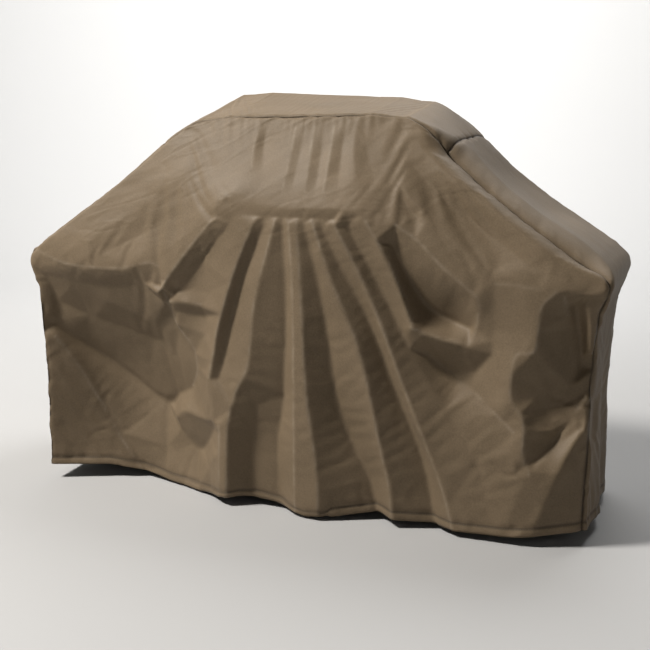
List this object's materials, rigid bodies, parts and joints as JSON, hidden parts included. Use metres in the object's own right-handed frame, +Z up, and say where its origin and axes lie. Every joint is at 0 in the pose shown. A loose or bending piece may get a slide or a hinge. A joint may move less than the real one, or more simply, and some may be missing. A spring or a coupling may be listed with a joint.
{
  "type": "grill cover",
  "caption": "Fitted fabric cover for a cart grill, with a raised hood section, sloping shoulders, an open bottom hem and hook-and-loop leg straps inside.",
  "frame": {"origin": "on the floor under the middle of the cover's box; the cover stands on its hem at z = 0", "axes": "+X is the cover's right side seen from the front, the front faces -Y, +Z is up"},
  "size_m": [1.65, 0.597, 1.135],
  "materials": {
    "cover_fabric": "coated woven polyester, taupe, satin sheen",
    "binding_tape": "woven tape, matt brown",
    "strap_webbing": "ribbed webbing, dark brown",
    "hook_tape": "stiff nylon hooks, black",
    "loop_tape": "soft brushed loops, dark brown"
  },
  "bodies": {
    "root": {"front_panel": "cover_fabric", "back_panel": "cover_fabric", "top_gusset": "cover_fabric", "left_gusset": "cover_fabric", "right_gusset": "cover_fabric", "front_seam_binding": "binding_tape", "back_seam_binding": "binding_tape", "left_cross_seam_binding": "binding_tape", "right_cross_seam_binding": "binding_tape", "strap_anchor_front_left": "binding_tape", "strap_anchor_back_left": "binding_tape", "strap_anchor_front_right": "binding_tape", "strap_anchor_back_right": "binding_tape"},
    "strap_front_left": {"leg_strap_front_left": "strap_webbing", "loop_tape_front_left": "loop_tape", "hook_tape_front_left": "hook_tape"},
    "strap_back_left": {"leg_strap_back_left": "strap_webbing", "loop_tape_back_left": "loop_tape", "hook_tape_back_left": "hook_tape"},
    "strap_front_right": {"leg_strap_front_right": "strap_webbing", "loop_tape_front_right": "loop_tape", "hook_tape_front_right": "hook_tape"},
    "strap_back_right": {"leg_strap_back_right": "strap_webbing", "loop_tape_back_right": "loop_tape", "hook_tape_back_right": "hook_tape"}
  },
  "joints": [
    {"name": "strap_swing_front_left", "type": "hinge", "parent": "root", "child": "strap_front_left", "pos_m": [-0.7754, -0.1765, 0.31], "axis": [0, -1, 0], "range_deg": [0, 150]},
    {"name": "strap_swing_back_left", "type": "hinge", "parent": "root", "child": "strap_back_left", "pos_m": [-0.7754, 0.2035, 0.31], "axis": [0, -1, 0], "range_deg": [0, 150]},
    {"name": "strap_swing_front_right", "type": "hinge", "parent": "root", "child": "strap_front_right", "pos_m": [0.7754, -0.1765, 0.31], "axis": [0, 1, 0], "range_deg": [0, 150]},
    {"name": "strap_swing_back_right", "type": "hinge", "parent": "root", "child": "strap_back_right", "pos_m": [0.7754, 0.2035, 0.31], "axis": [0, 1, 0], "range_deg": [0, 150]}
  ]
}
